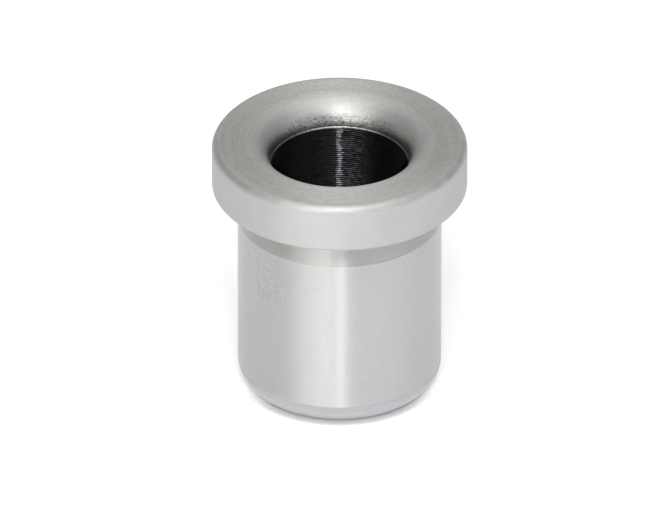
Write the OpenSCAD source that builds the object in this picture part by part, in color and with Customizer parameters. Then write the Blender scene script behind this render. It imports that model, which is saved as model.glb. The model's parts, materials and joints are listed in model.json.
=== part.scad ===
// Headed guide bushing for a drill jig: one turned, hardened and ground steel sleeve.
// The shank is pressed into the jig plate until the underside of the head seats on the plate.
// The axis is Z. The bushing stands on its foot at z = 0, with the head uppermost.

/* [Bore] */
// Diameter of the guide bore
bore_d = 8; // [6.1:0.1:8.5]
// Radius of the rounded lead-in at the top of the bore
lead_in_r = 1.5; // [1:0.1:2]
// Width of the bevel between the lead-in and the bore
mouth_bevel = 0.08; // [0.02:0.01:0.2]
// Width of the bevel at the lower end of the bore
exit_bevel = 0.3; // [0.1:0.05:0.5]

/* [Head] */
// Diameter of the head
head_d = 15; // [14:0.5:18]
// Height of the head
head_h = 3; // [2.5:0.5:5]
// Radius on the upper edge of the head
head_top_round = 0.5; // [0.1:0.05:0.8]
// Radius on the lower edge of the head
head_low_round = 0.2; // [0.05:0.05:0.4]

/* [Shank] */
// Diameter of the ground shank
shank_d = 12; // [11.5:0.1:13]
// Length of the whole bushing, from the foot to the top of the head
overall_l = 16; // [10:1:20]

/* [Neck] */
// Length of the grinding relief, from the head down to the ground shank
neck_l = 2; // [1.6:0.1:3]
// Depth of the relief below the surface of the shank
neck_depth = 0.3; // [0.1:0.05:0.4]
// Angle of the ramp that climbs from the relief to the shank
neck_ramp_angle = 15; // [12:1:45]
// Radius in the corner between the relief and the head
neck_fillet = 0.4; // [0.3:0.05:0.6]

/* [Foot] */
// Length of the rounded end that leads the shank into its hole
foot_lead_l = 1.3; // [0.8:0.1:1.3]
// Radius of the rounded end, which the foot cuts off before it turns level
foot_lead_r = 1.5; // [1.4:0.1:2]

/* [Hidden] */

// Facets of a full circle in the preview
$fn = 128;

// Radii of the turned steps
bore_r = bore_d / 2;
mouth_r = bore_r + mouth_bevel;
head_r = head_d / 2;
shank_r = shank_d / 2;
neck_r = shank_r - neck_depth;

// Heights of the turned steps
seat_z = overall_l - head_h;
mouth_z = overall_l - lead_in_r;
shank_top_z = seat_z - neck_l;
neck_floor_z = shank_top_z + neck_depth / tan(neck_ramp_angle);

// Corners of the half section, counter-clockwise from the lower end of the bore.
// Each is [radius from the axis, height, rounding of the corner].
section_corners = [
    [bore_r + exit_bevel, 0, 0],
    [shank_r, 0, 0],
    [shank_r, shank_top_z, 0],
    [neck_r, neck_floor_z, 0],
    [neck_r, seat_z, neck_fillet],
    [head_r, seat_z, head_low_round],
    [head_r, overall_l, head_top_round],
    [mouth_r, overall_l, lead_in_r],
    [mouth_r, mouth_z, 0],
    [bore_r, mouth_z - mouth_bevel, 0],
    [bore_r, exit_bevel, 0],
];

function point(corner) = [corner.x, corner.y];
function unit(v) = v / norm(v);

// Direction from corner i to the corner that lies the given number of steps along the outline
function toward(corners, i, step) =
    unit(point(corners[(i + step + len(corners)) % len(corners)]) - point(corners[i]));

// True where the outline turns left, so that the corner stands out of the metal
function stands_out(corners, i) = cross(-toward(corners, i, -1), toward(corners, i, 1)) > 0;

// The sliver between a sharp corner and its rounding: a triangle, less the tangent circle
module corner_sliver(corners, i) {
    corner = point(corners[i]);
    radius = corners[i].z;
    back = toward(corners, i, -1);
    ahead = toward(corners, i, 1);
    half_angle = acos(back * ahead) / 2;
    tangent_l = radius / tan(half_angle);
    difference() {
        polygon([corner, corner + tangent_l * back, corner + tangent_l * ahead]);
        translate(corner + radius / sin(half_angle) * unit(back + ahead))
            circle(radius);
    }
}

// An outline with its corners rounded by true arcs: outer corners lose a sliver, inner ones gain it
module rounded_outline(corners) {
    rounded = [for (i = [0 : len(corners) - 1]) if (corners[i].z > 0) i];
    difference() {
        union() {
            polygon([for (corner = corners) point(corner)]);
            for (i = rounded)
                if (!stands_out(corners, i)) corner_sliver(corners, i);
        }
        for (i = rounded)
            if (stands_out(corners, i)) corner_sliver(corners, i);
    }
}

// What the rounded end takes off the shank: a rectangle, less the circle that touches the shank
module foot_lead_sliver() {
    translate([shank_r - foot_lead_r, 0])
        difference() {
            square([foot_lead_r, foot_lead_l]);
            translate([0, foot_lead_l])
                circle(foot_lead_r);
        }
}

module guide_bushing() {
    color([0.74, 0.74, 0.73])
        rotate_extrude()
            difference() {
                rounded_outline(section_corners);
                foot_lead_sliver();
            }
}

guide_bushing();
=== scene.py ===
"""Looks of the guide bushing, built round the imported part, in metres with +Z up the bore."""
import json
import math

import bmesh
import bpy
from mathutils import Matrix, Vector


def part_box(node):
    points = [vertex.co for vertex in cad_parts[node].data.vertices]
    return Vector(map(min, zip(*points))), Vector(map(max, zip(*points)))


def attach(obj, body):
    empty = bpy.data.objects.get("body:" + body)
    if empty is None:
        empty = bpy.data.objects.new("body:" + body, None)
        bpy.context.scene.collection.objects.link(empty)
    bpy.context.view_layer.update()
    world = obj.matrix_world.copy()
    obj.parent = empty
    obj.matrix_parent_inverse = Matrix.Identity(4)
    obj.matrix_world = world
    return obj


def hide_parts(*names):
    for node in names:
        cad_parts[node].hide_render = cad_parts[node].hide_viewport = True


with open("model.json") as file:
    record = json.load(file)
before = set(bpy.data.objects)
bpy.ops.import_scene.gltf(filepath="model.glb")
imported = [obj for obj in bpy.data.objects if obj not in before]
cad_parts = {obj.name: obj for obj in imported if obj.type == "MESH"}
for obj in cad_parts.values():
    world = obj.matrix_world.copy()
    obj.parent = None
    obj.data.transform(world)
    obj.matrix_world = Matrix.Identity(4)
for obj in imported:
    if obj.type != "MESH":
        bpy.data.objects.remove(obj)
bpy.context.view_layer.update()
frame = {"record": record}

MM = 0.001
MICRON = 0.000001

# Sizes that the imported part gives
mounts = {mount["name"]: mount for mount in frame["record"]["mounts"]}


def wall_of(mount):
    """Radius, lowest and highest point of a round wall that the part states as a mount."""
    half = mount["dims"]["length_mm"] * MM / 2
    middle = mount["pos_m"][2]
    return mount["dims"]["r_mm"] * MM, middle - half, middle + half


node_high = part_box("guide_bushing")[1]
HEAD_R = node_high.x
TOP_Z = node_high.z
MIDDLE = Vector((0, 0, TOP_Z / 2))
SEAT_Z = mounts["head_seat"]["pos_m"][2]
BORE_R, EXIT_Z, MOUTH_Z = wall_of(mounts["guide_bore"])
SHANK_R, FOOT_LEAD_Z, NECK_Z = wall_of(mounts["press_shank"])

# Edges and reliefs, which the record doesn't state
MOUTH_BEVEL = 0.08 * MM
LEAD_IN_R = TOP_Z - MOUTH_Z - MOUTH_BEVEL
HEAD_TOP_ROUND = 0.5 * MM
HEAD_LOW_ROUND = 0.2 * MM
NECK_DEPTH = 0.3 * MM
NECK_RAMP_ANGLE = math.radians(15)
NECK_FILLET = 0.4 * MM
FOOT_LEAD_R = 1.5 * MM
FOOT_LEAD_TURN = math.asin(FOOT_LEAD_Z / FOOT_LEAD_R)

# How finely the bushing is turned
TURN_STEPS = 256
RING_GAP = 0.5 * MM
RING_TURN = math.radians(4.5)
SHARP_TURN = math.radians(10)


# The turned outline

def bushing_outline():
    """Corners of the half section as (radius, height, rounding, finish of the stretch up to it)."""
    neck_r = SHANK_R - NECK_DEPTH
    neck_floor_z = NECK_Z + NECK_DEPTH / math.tan(NECK_RAMP_ANGLE)
    mouth_r = BORE_R + MOUTH_BEVEL
    # The outline starts at the bevel of the exit, which is as wide as it is high
    return [
        (BORE_R + EXIT_Z, 0, 0, "turned"),
        (SHANK_R - FOOT_LEAD_R * (1 - math.cos(FOOT_LEAD_TURN)), 0, 0, "foot"),
        (SHANK_R, FOOT_LEAD_Z - FOOT_LEAD_R * math.tan(FOOT_LEAD_TURN / 2), FOOT_LEAD_R, "foot"),
        (SHANK_R, NECK_Z, 0, "ground"),
        (neck_r, neck_floor_z, 0, "relieved"),
        (neck_r, SEAT_Z, NECK_FILLET, "relieved"),
        (HEAD_R, SEAT_Z, HEAD_LOW_ROUND, "satin"),
        (HEAD_R, TOP_Z - HEAD_TOP_ROUND, 0, "satin"),
        (HEAD_R, TOP_Z, HEAD_TOP_ROUND, "rim"),
        (mouth_r + LEAD_IN_R, TOP_Z, 0, "turned"),
        (mouth_r, TOP_Z, LEAD_IN_R, "lead"),
        (mouth_r, TOP_Z - LEAD_IN_R, 0, "lead"),
        (BORE_R, MOUTH_Z, 0, "lead"),
        (BORE_R, EXIT_Z, 0, "honed"),
    ]


def straight_stretch(profile, tip, end):
    """Carries the outline on to a point, with rings that gather towards both ends."""
    start = tip.co.copy()
    length = (end - start).length
    rings = max(1, round(length / RING_GAP)) if length > MICRON else 0
    for ring in range(1, rings + 1):
        tip = bmesh.ops.extrude_vert_indiv(profile, verts=[tip])["verts"][0]
        tip.co = start.lerp(end, (1 - math.cos(math.pi * ring / rings)) / 2)
    return tip


def rounded_corner(profile, tip, corner, back, ahead, rounding):
    """Carries the outline on to a corner and round it, on an arc tangent to both its sides."""
    half_angle = back.angle(ahead) / 2
    tip = straight_stretch(profile, tip, corner + back * rounding / math.tan(half_angle))
    centre = corner + (back + ahead).normalized() * rounding / math.sin(half_angle)
    turn = math.pi - 2 * half_angle
    arc = bmesh.ops.spin(
        profile,
        geom=[tip],
        cent=centre,
        axis=ahead.cross(back).normalized(),
        angle=turn,
        steps=math.ceil(turn / RING_TURN),
    )
    return arc["geom_last"][0]


def turn_bushing():
    """Draws the half section, spins it round the axis and returns the mesh with its rings' finishes."""
    outline = bushing_outline()
    points = [Vector((radius, 0, height)) for radius, height, rounding, finish in outline]
    body = bmesh.new()
    ring_number = body.verts.layers.int.new("ring")
    first = tip = body.verts.new(points[0])
    finishes = []
    for i in range(1, len(outline)):
        rounding, finish = outline[i][2:]
        if rounding:
            back = (points[i - 1] - points[i]).normalized()
            ahead = (points[(i + 1) % len(points)] - points[i]).normalized()
            tip = rounded_corner(body, tip, points[i], back, ahead, rounding)
        else:
            tip = straight_stretch(body, tip, points[i])
        finishes += [finish] * (len(body.verts) - 1 - len(finishes))
    finishes.append(outline[0][3])
    body.edges.new((tip, first))
    body.verts.ensure_lookup_table()
    for ring, vert in enumerate(body.verts):
        vert[ring_number] = ring
    bmesh.ops.spin(
        body,
        geom=body.verts[:] + body.edges[:],
        cent=(0, 0, 0),
        axis=(0, 0, 1),
        angle=math.tau,
        steps=TURN_STEPS,
        use_merge=True,
    )
    bmesh.ops.remove_doubles(body, verts=body.verts, dist=MICRON)
    bmesh.ops.recalc_face_normals(body, faces=body.faces)
    return body, ring_number, finishes


def dress_bushing(body, ring_number, finishes, slots):
    """Gives each band of faces its finish, and shades all but the sharp corners smooth."""
    for face in body.faces:
        rings = sorted({vert[ring_number] for vert in face.verts})
        closing = rings[-1] - rings[0] > 1
        face.material_index = slots.index(finishes[rings[-1] if closing else rings[0]])
        face.smooth = True
    for edge in body.edges:
        edge.smooth = edge.calc_face_angle() < SHARP_TURN


# Nodes that the finishes share

# Scale at which the wave texture has one wave to a unit
WAVE_SCALE = math.pi / 10
# Where a noise lies for the most part
NOISE_LOW = 0.3
NOISE_HIGH = 0.7
# As a share of a full turn
QUARTER_TURN = 0.25


def add_node(tree, kind, inputs=(), **settings):
    """Adds a node with its settings, and feeds its inputs with values or with other nodes' outputs."""
    made = tree.nodes.new(kind)
    for name, value in settings.items():
        setattr(made, name, value)
    for name, value in dict(inputs).items():
        if isinstance(value, bpy.types.NodeSocket):
            tree.links.new(value, made.inputs[name])
        else:
            made.inputs[name].default_value = value
    return made


def arithmetic(tree, operation, *terms):
    """The result of one sum on numbers and outputs."""
    return add_node(tree, "ShaderNodeMath", enumerate(terms), operation=operation).outputs[0]


def vector_sum(tree, operation, inputs):
    """The vector that one sum on vectors gives."""
    return add_node(tree, "ShaderNodeVectorMath", inputs, operation=operation).outputs["Vector"]


def object_place(tree):
    """The place of the shaded point in the part's own frame, in metres."""
    return add_node(tree, "ShaderNodeTexCoord").outputs["Object"]


def place_along(tree, axis):
    """One coordinate of the shaded point."""
    return add_node(tree, "ShaderNodeSeparateXYZ", {0: object_place(tree)}).outputs[axis]


def flat_place(tree):
    """The shaded point moved down onto the plane of the foot."""
    return vector_sum(tree, "MULTIPLY", {0: object_place(tree), 1: (1, 1, 0)})


def distance(tree, place, centre):
    """How far a place lies from a fixed point, in metres."""
    inputs = {0: place, 1: centre}
    return add_node(tree, "ShaderNodeVectorMath", inputs, operation="DISTANCE").outputs["Value"]


def drawn_out(tree, length, width):
    """The shaded point on a scale where one unit is that length round the axis and that width across."""
    flat = flat_place(tree)
    radius = distance(tree, flat, (0, 0, 0))
    across = arithmetic(tree, "ADD", radius, place_along(tree, "Z"))
    step = add_node(tree, "ShaderNodeCombineXYZ", {"Z": arithmetic(tree, "DIVIDE", across, width)})
    path = vector_sum(tree, "SCALE", {0: flat, "Scale": 1 / length})
    return vector_sum(tree, "ADD", {0: path, 1: step.outputs["Vector"]})


def marks(tree, length, width, detail=2.0):
    """Noise drawn out round the axis, as a tool or a wheel leaves it: marks of that length and width."""
    noise = {"Vector": drawn_out(tree, length, width), "Scale": 1.0, "Detail": detail}
    return add_node(tree, "ShaderNodeTexNoise", noise).outputs["Fac"]


def grooves(tree, length, width, waver):
    """Fine grooves round the axis with flanks of one slope, which waver over that length."""
    wave = {
        "Vector": drawn_out(tree, length, width),
        "Scale": WAVE_SCALE,
        "Distortion": waver,
        "Detail": 1.0,
        "Detail Scale": 1.0,
    }
    made = add_node(tree, "ShaderNodeTexWave", wave, wave_profile="TRI", bands_direction="Z")
    return made.outputs["Fac"]


def slanting(tree, slant, length, width):
    """Noise drawn out up the part, along lines that lean by that angle to the left of the front view."""
    inputs = {"Vector": object_place(tree), "Axis": (0, 1, 0), "Angle": slant}
    leaning = add_node(tree, "ShaderNodeVectorRotate", inputs, rotation_type="AXIS_ANGLE")
    scale = (1 / width, 1 / width, 1 / length)
    path = vector_sum(tree, "MULTIPLY", {0: leaning.outputs["Vector"], 1: scale})
    return add_node(tree, "ShaderNodeTexNoise", {"Vector": path, "Scale": 1.0}).outputs["Fac"]


def grain(tree, size, detail=2.0):
    """Noise that is as long as it is wide."""
    noise = {"Vector": object_place(tree), "Scale": 1 / size, "Detail": detail}
    return add_node(tree, "ShaderNodeTexNoise", noise).outputs["Fac"]


def ramp(tree, value, low, high, at_low=0.0, at_high=1.0):
    """A value that goes smoothly from one level to another as the given one passes two marks."""
    inputs = {"Value": value, "From Min": low, "From Max": high, "To Min": at_low, "To Max": at_high}
    made = add_node(tree, "ShaderNodeMapRange", inputs, interpolation_type="SMOOTHSTEP")
    return made.outputs["Result"]


def mottle(tree, noise, share):
    """A level of about one, which a noise makes lighter and darker by a share."""
    return ramp(tree, noise, NOISE_LOW, NOISE_HIGH, 1 - share, 1 + share)


def level_where(tree, mask, level, elsewhere=1.0):
    """One level where a mask is 1, and the other where it is 0."""
    return ramp(tree, mask, 0, 1, elsewhere, level)


def tint(tree, shader, colour, *levels):
    """Colours a surface, made lighter and darker by the product of the levels."""
    level = levels[0]
    for other in levels[1:]:
        level = arithmetic(tree, "MULTIPLY", level, other)
    tree.links.new(vector_sum(tree, "SCALE", {0: colour, "Scale": level}), shader.inputs["Base Color"])


def relief(tree, shader, *reliefs):
    """Raises the surface by noises of given depths in metres."""
    height = 0.0
    for noise, depth in reliefs:
        height = arithmetic(tree, "MULTIPLY_ADD", noise, depth, height)
    bump = add_node(tree, "ShaderNodeBump", {"Height": height, "Strength": 1.0, "Distance": 1.0})
    tree.links.new(bump.outputs["Normal"], shader.inputs["Normal"])


def new_material(name):
    """A new material, with its node tree and its shader."""
    material = bpy.data.materials.new(name)
    material.use_nodes = True
    return material, material.node_tree, material.node_tree.nodes["Principled BSDF"]


def new_steel(name, roughness, anisotropy=0.0, edge_level=1.0):
    """A bare steel material, whose gloss spreads across the marks that run round the axis.

    The edge level dims what the steel mirrors at a flat angle."""
    material, tree, shader = new_material(name)
    shader.inputs["Metallic"].default_value = 1
    shader.inputs["Roughness"].default_value = roughness
    shader.inputs["Anisotropic"].default_value = anisotropy
    shader.inputs["Anisotropic Rotation"].default_value = QUARTER_TURN
    shader.inputs["Specular Tint"].default_value = (edge_level, edge_level, edge_level, 1)
    return material, tree, shader


# Finishes

# Middles of the scuffed patch on the shank and of the band of painted reflection in the bore, and the
# distances from there at which each begins and is full
SCUFFED_PLACE = (-4.7 * MM, -3.7 * MM, 8.8 * MM)
SCUFFED_REACH = (3.2 * MM, 1.2 * MM)
SCUFF_SLANT = math.radians(38)
PAINTED_REFLECTION_PLACE = (0.65 * MM, 3.9 * MM, 0)
PAINTED_REFLECTION_REACH = (1.1 * MM, 0.4 * MM)
# Lead-in: heights above the mouth and depths behind the axis where each band begins and is full: the
# smoother band with painted shade next to the bore, the pits at the back, and the painted light low down
# at the back
NEAR_BORE_HEIGHTS = (1.1 * MM, 0.55 * MM)
TORN_DEPTHS = (1.5 * MM, 3.5 * MM)
PAINTED_LIGHT_HEIGHTS = (0.8 * MM, 0.3 * MM)
PAINTED_LIGHT_DEPTHS = (2.8 * MM, 3.9 * MM)
# How far below the top the lead-in's own finish is full, and how matt it is there
LEAD_START = 0.5 * MM
LEAD_ROUGHNESS = 0.5


def ground_steel():
    """Shank: the fine grain of the grinding wheel, with a patch of slanting scuffs at the left."""
    material, tree, shader = new_steel("ground_steel", 0.36, 1.0)
    streaks = marks(tree, 0.35 * MM, 0.1 * MM, 3.0)
    fine = grain(tree, 0.12 * MM, 3.0)
    scuffs = slanting(tree, SCUFF_SLANT, 1.7 * MM, 0.14 * MM)
    scuffed = ramp(tree, distance(tree, object_place(tree), SCUFFED_PLACE), *SCUFFED_REACH)
    scuff_level = ramp(tree, scuffs, 0.38, 0.62, 0.045, -0.075)
    tint(
        tree,
        shader,
        (0.53, 0.53, 0.535),
        mottle(tree, streaks, 0.02),
        mottle(tree, fine, 0.03),
        arithmetic(tree, "MULTIPLY_ADD", scuffed, scuff_level, 1.0),
    )
    relief(tree, shader, (streaks, 3 * MICRON), (fine, 2 * MICRON))
    return material


def foot_steel():
    """Foot and its rounded edge: fine rings of the turning tool, and painted light that makes it lighter
    towards the foot.
    """
    material, tree, shader = new_steel("foot_steel", 0.7)
    rings = marks(tree, 1.5 * MM, 0.08 * MM, 3.0)
    height = place_along(tree, "Z")
    tint(
        tree,
        shader,
        (0.54, 0.54, 0.556),
        mottle(tree, rings, 0.04),
        # Painted light: lighter towards the foot
        ramp(tree, height, FOOT_LEAD_Z, 0, 0.9, 1.2),
    )
    relief(tree, shader, (rings, 3 * MICRON))
    return material


def satin_steel():
    """Side of the head: an even matt grain."""
    material, tree, shader = new_steel("satin_steel", 0.48, 0.6, 0.8)
    fine = grain(tree, 0.08 * MM)
    clouds = grain(tree, 1.2 * MM, 3.0)
    tint(
        tree,
        shader,
        (0.49, 0.49, 0.493),
        mottle(tree, clouds, 0.02),
        mottle(tree, fine, 0.02),
    )
    relief(tree, shader, (fine, 2 * MICRON))
    return material


def rim_steel():
    """Rounded upper edge of the head: worn with rubs, and lighter towards the head's side."""
    material, tree, shader = new_steel("rim_steel", 0.53, 0.3, 0.8)
    rubs = marks(tree, 0.8 * MM, 0.14 * MM, 3.0)
    height = place_along(tree, "Z")
    tint(
        tree,
        shader,
        (0.42, 0.421, 0.414),
        mottle(tree, rubs, 0.05),
        ramp(tree, height, TOP_Z, TOP_Z - HEAD_TOP_ROUND, 1.0, 1.15),
    )
    relief(tree, shader, (rubs, 14 * MICRON))
    return material


def turned_steel():
    """Top of the head and bevel at the exit: rings of the turning tool in a matt grain."""
    material, tree, shader = new_steel("turned_steel", 0.5, 0.7)
    rings = marks(tree, 4 * MM, 0.11 * MM, 3.0)
    fine = grain(tree, 0.11 * MM, 3.0)
    tint(
        tree,
        shader,
        (0.436, 0.440, 0.415),
        mottle(tree, fine, 0.1),
        mottle(tree, rings, 0.05),
    )
    relief(tree, shader, (rings, 4 * MICRON), (fine, 6 * MICRON))
    return material


def lead_steel():
    """Lead-in and mouth bevel: as matt as the top at first, and smoother next to the bore.

    Painted light makes it lighter just below the top, and painted shade darker next to the bore. At the
    back it has pits, darkened by painted shade, and painted light low down. The bevel is darkened by
    painted shade, most of all at its lower edge."""
    material, tree, shader = new_steel("lead_steel", LEAD_ROUGHNESS, 0.6, 0.55)
    rings = marks(tree, 1.2 * MM, 0.1 * MM, 3.0)
    fine = grain(tree, 0.12 * MM, 3.0)
    pits = marks(tree, 0.19 * MM, 0.13 * MM, 1.0)
    height = place_along(tree, "Z")
    depth = place_along(tree, "Y")
    above_mouth = arithmetic(tree, "SUBTRACT", height, MOUTH_Z)
    below_top = ramp(tree, height, TOP_Z, TOP_Z - LEAD_START)
    near_bore = ramp(tree, above_mouth, *NEAR_BORE_HEIGHTS)
    torn = arithmetic(tree, "MULTIPLY", near_bore, ramp(tree, depth, *TORN_DEPTHS))
    # Painted light low down at the back of the lead-in, next to the mouth
    low_down = ramp(tree, above_mouth, *PAINTED_LIGHT_HEIGHTS)
    painted_light_at_back = arithmetic(tree, "MULTIPLY", low_down, ramp(tree, depth, *PAINTED_LIGHT_DEPTHS))
    # Painted shade on the mouth bevel, darkest at its lower edge
    bevel_painted_shade = ramp(tree, above_mouth, MOUTH_BEVEL, 1.5 * MOUTH_BEVEL, 0.5, 1.0)
    lip_painted_shade = ramp(tree, above_mouth, 0.3 * MOUTH_BEVEL, 0.7 * MOUTH_BEVEL, 0.15, 1.0)
    # Pits at the back: real relief, with painted shade in their hollows
    pit_painted_shade = arithmetic(tree, "MULTIPLY", torn, ramp(tree, pits, 0.47, 0.41))
    tint(
        tree,
        shader,
        (0.412, 0.414, 0.400),
        mottle(tree, rings, 0.05),
        mottle(tree, fine, 0.05),
        # Painted light: lighter just below the top of the lead-in
        level_where(tree, below_top, 1.06, 1.17),
        bevel_painted_shade,
        lip_painted_shade,
        level_where(tree, pit_painted_shade, 0.55),
        # Painted shade: darker next to the bore
        level_where(tree, near_bore, 0.92),
        level_where(tree, painted_light_at_back, 1.8),
    )
    smoothed = level_where(tree, below_top, LEAD_ROUGHNESS, LEAD_ROUGHNESS + 0.03)
    roughness = arithmetic(tree, "MULTIPLY_ADD", near_bore, -0.16, smoothed)
    tree.links.new(roughness, shader.inputs["Roughness"])
    torn_pits = arithmetic(tree, "MULTIPLY", pits, torn)
    relief(tree, shader, (torn_pits, 9 * MICRON), (rings, 9 * MICRON), (fine, 5 * MICRON))
    return material


def relieved_steel():
    """Relief under the head: turned, and darker than the ground shank."""
    material, tree, shader = new_steel("relieved_steel", 0.33, 0.9)
    rings = marks(tree, 2.0 * MM, 0.07 * MM)
    tint(tree, shader, (0.39, 0.39, 0.377), mottle(tree, rings, 0.04))
    relief(tree, shader, (rings, 2 * MICRON))
    return material


def honed_steel():
    """Bore: smooth and near black with painted shade, with fine wavering grooves whose flanks catch the
    light from above.

    At the back, right of the middle, a band down the bore has lighter flecks of painted reflection."""
    material, tree, shader = new_steel("honed_steel", 0.15, 1.0)
    fine_grooves = grooves(tree, 0.35 * MM, 0.14 * MM, 0.9)
    strokes = marks(tree, 0.5 * MM, 0.12 * MM)
    flecks = marks(tree, 0.3 * MM, 0.12 * MM, 1.0)
    # Painted reflection: lighter flecks in a band down the bore, at the back right of the middle
    painted_reflection_band = ramp(tree, distance(tree, flat_place(tree), PAINTED_REFLECTION_PLACE), *PAINTED_REFLECTION_REACH)
    reflection_fleck_level = ramp(tree, flecks, 0.38, 0.62, -0.3, 1.4)
    tint(
        tree,
        shader,
        # Near black: painted shade of the deep bore
        (0.013, 0.013, 0.014),
        mottle(tree, strokes, 0.3),
        arithmetic(tree, "MULTIPLY_ADD", painted_reflection_band, reflection_fleck_level, 1.0),
    )
    relief(tree, shader, (fine_grooves, 57 * MICRON), (strokes, 8 * MICRON))
    return material


def new_object(name, shape, materials):
    """An object of a shape and its materials, with its place in its mesh."""
    mesh = bpy.data.meshes.new(name)
    shape.to_mesh(mesh)
    shape.free()
    for material in materials:
        mesh.materials.append(material)
    made = bpy.data.objects.new(name, mesh)
    bpy.context.scene.collection.objects.link(made)
    return made


def make_bushing():
    """The bushing as one closed turned mesh, which stands for the part's only node."""
    materials = {
        "ground": ground_steel(),
        "foot": foot_steel(),
        "satin": satin_steel(),
        "rim": rim_steel(),
        "turned": turned_steel(),
        "lead": lead_steel(),
        "relieved": relieved_steel(),
        "honed": honed_steel(),
    }
    body, ring_number, finishes = turn_bushing()
    dress_bushing(body, ring_number, finishes, list(materials))
    bushing = new_object("turned_bushing", body, materials.values())
    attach(bushing, "root")
    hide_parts("guide_bushing")


# Stage, light and camera

FLOOR_SIDE = 2.0
FLOOR_WHITE = (0.93, 0.93, 0.93)
FLOOR_GLOW = 0.055
# Painted contact shadow on the floor next to the foot: from how near, by which share, and where along Y
CONTACT_REACH = 0.6 * MM
CONTACT_SHADE = 0.41
CONTACT_FRONT = (-1.2 * MM, -4.6 * MM)
# Share of the open sky that is left where the floor is darkest
CONTACT_OPENING = 0.45
ROOM_LEVEL = 0.507
LAMP_DISTANCE = 0.5
COOL_WHITE = (0.98, 0.98, 1)
BLUE_WHITE = (0.98, 0.98, 1.05)
WARM_WHITE = (1, 0.99, 0.97)
IMAGE_WIDTH = 668
PIXELS_PER_MM = 17.0
# How high the camera looks down from, in degrees above the horizon
VIEW_ELEVATION = 31.9
# Focal length and width of the sensor, in millimetres
LENS = 1000
SENSOR = 36
# Where the middle of the bushing lies in the picture, in pixels from the centre of the frame
RIGHT_OF_CENTRE = 5.6
ABOVE_CENTRE = 4.2


def direction(azimuth, elevation):
    """Unit vector from the bushing towards a place round it. Azimuth 0 is in front, at -Y."""
    turn, rise = math.radians(azimuth), math.radians(elevation)
    return Vector((math.sin(turn) * math.cos(rise), -math.cos(turn) * math.cos(rise), math.sin(rise)))


def make_floor():
    """A plain white table top, with a painted contact shadow in front where the bushing touches it."""
    material, tree, shader = new_material("white_table")
    opening = add_node(tree, "ShaderNodeAmbientOcclusion", {"Distance": CONTACT_REACH}).outputs["AO"]
    closeness = ramp(tree, opening, 1.0, CONTACT_OPENING)
    in_front = ramp(tree, place_along(tree, "Y"), *CONTACT_FRONT)
    contact = arithmetic(tree, "MULTIPLY", closeness, in_front)
    shade = arithmetic(tree, "MULTIPLY_ADD", contact, -CONTACT_SHADE, 1.0)
    tint(tree, shader, FLOOR_WHITE, shade)
    tree.links.new(arithmetic(tree, "MULTIPLY", shade, FLOOR_GLOW), shader.inputs["Emission Strength"])
    shader.inputs["Emission Color"].default_value = (1, 1, 1, 1)
    shader.inputs["Roughness"].default_value = 0.9
    shader.inputs["Specular IOR Level"].default_value = 0
    table = bmesh.new()
    bmesh.ops.create_grid(table, size=FLOOR_SIDE / 2)
    floor = new_object("white_table", table, [material])


def set_up(holder, aim, toward, away):
    """Puts a lamp or the camera into the scene, at a distance from the point that it looks at."""
    holder.location = aim + toward * away
    holder.rotation_mode = "QUATERNION"
    holder.rotation_quaternion = (-toward).to_track_quat("-Z", "Y")
    bpy.context.scene.collection.objects.link(holder)


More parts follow.
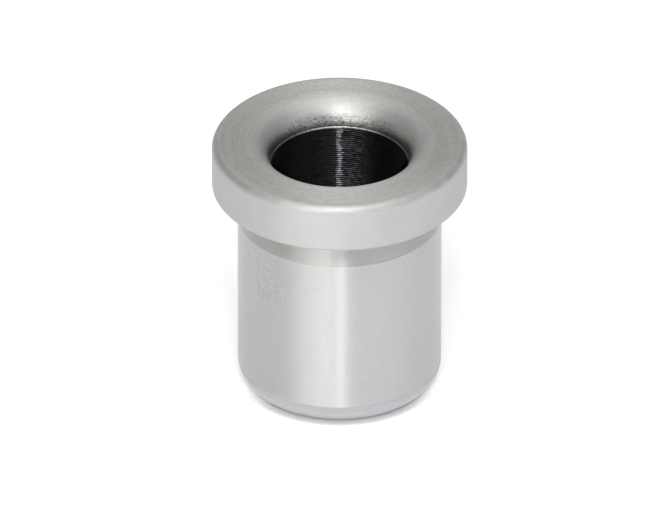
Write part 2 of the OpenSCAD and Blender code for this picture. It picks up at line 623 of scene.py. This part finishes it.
def softbox(name, azimuth, elevation, width, height, brightness, colour=(1, 1, 1), fade=(0.5, 0.5)):
    """A rectangular lamp that faces the bushing, as wide and as high as two angles seen from there.

    Its light rises from nothing at the left and right edge to full over the two shares of its width."""
    lamp = bpy.data.lights.new(name, "AREA")
    lamp.shape = "RECTANGLE"
    lamp.size = 2 * LAMP_DISTANCE * math.tan(math.radians(width) / 2)
    lamp.size_y = 2 * LAMP_DISTANCE * math.tan(math.radians(height) / 2)
    lamp.energy = brightness * math.pi * lamp.size * lamp.size_y
    lamp.color = colour
    lamp.use_nodes = True
    tree = lamp.node_tree
    cloth = add_node(tree, "ShaderNodeNewGeometry").outputs["Parametric"]
    across = add_node(tree, "ShaderNodeSeparateXYZ", {0: cloth}).outputs["X"]
    from_left = ramp(tree, across, 0.0, fade[0])
    from_right = ramp(tree, across, 1.0, 1.0 - fade[1])
    share = arithmetic(tree, "MULTIPLY", from_left, from_right)
    tree.links.new(share, tree.nodes["Emission"].inputs["Strength"])
    holder = bpy.data.objects.new(name, lamp)
    holder.visible_camera = False
    set_up(holder, MIDDLE, direction(azimuth, elevation), LAMP_DISTANCE)


def light_room():
    """A dim room with softboxes round the bushing, and a small bright lamp and a strip in front."""
    world = bpy.data.worlds.new("room")
    world.use_nodes = True
    background = world.node_tree.nodes["Background"]
    background.inputs["Color"].default_value = (ROOM_LEVEL, ROOM_LEVEL, ROOM_LEVEL, 1)
    bpy.context.scene.world = world
    softbox("key_lamp", 1.3, 47, 6, 9, 38, COOL_WHITE, (0.05, 0.05))
    softbox("key_spill", -4, 47, 36, 10, 1.75, COOL_WHITE, (0.2, 0.2))
    softbox("front_strip", 1.4, 14, 10.5, 28, 1.4, COOL_WHITE, (0.15, 0.15))
    softbox("front_left_softbox", -35.75, 22, 57.5, 43, 2.0, WARM_WHITE, (0.74, 0.05))
    softbox("front_right_softbox", 41, 12, 70, 23, 0.62, BLUE_WHITE)
    softbox("front_low_softbox", 0, 8, 60, 16, 0.58, fade=(0.4, 0.4))
    softbox("front_top_softbox", -7, 62, 80, 44, 1.18, fade=(0.3, 0.3))
    softbox("left_top_softbox", -62, 58, 50, 40, 0.34)
    softbox("right_top_softbox", 66, 58, 60, 44, 0.98)
    softbox("right_low_softbox", 75, 20, 50, 30, 0.4)
    softbox("top_softbox", 0, 84, 80, 30, 0.46)
    softbox("back_top_softbox", 176, 56, 90, 32, 0.77)
    softbox("sweep", 178, 10, 110, 19, 0.57)
    bpy.context.scene.view_settings.view_transform = "Standard"


def make_camera():
    """A very long lens at the photograph's height, with the bushing at its place in the frame."""
    camera = bpy.data.cameras.new("camera")
    camera.lens = LENS
    camera.sensor_width = SENSOR
    holder = bpy.data.objects.new("camera", camera)
    back = direction(0, VIEW_ELEVATION)
    right = Vector((1, 0, 0))
    up = back.cross(right)
    pixel = MM / PIXELS_PER_MM
    aim = MIDDLE - (right * RIGHT_OF_CENTRE + up * ABOVE_CENTRE) * pixel
    set_up(holder, aim, back, IMAGE_WIDTH * pixel * LENS / SENSOR)
    bpy.context.scene.camera = holder


make_bushing()
make_floor()
light_room()
make_camera()
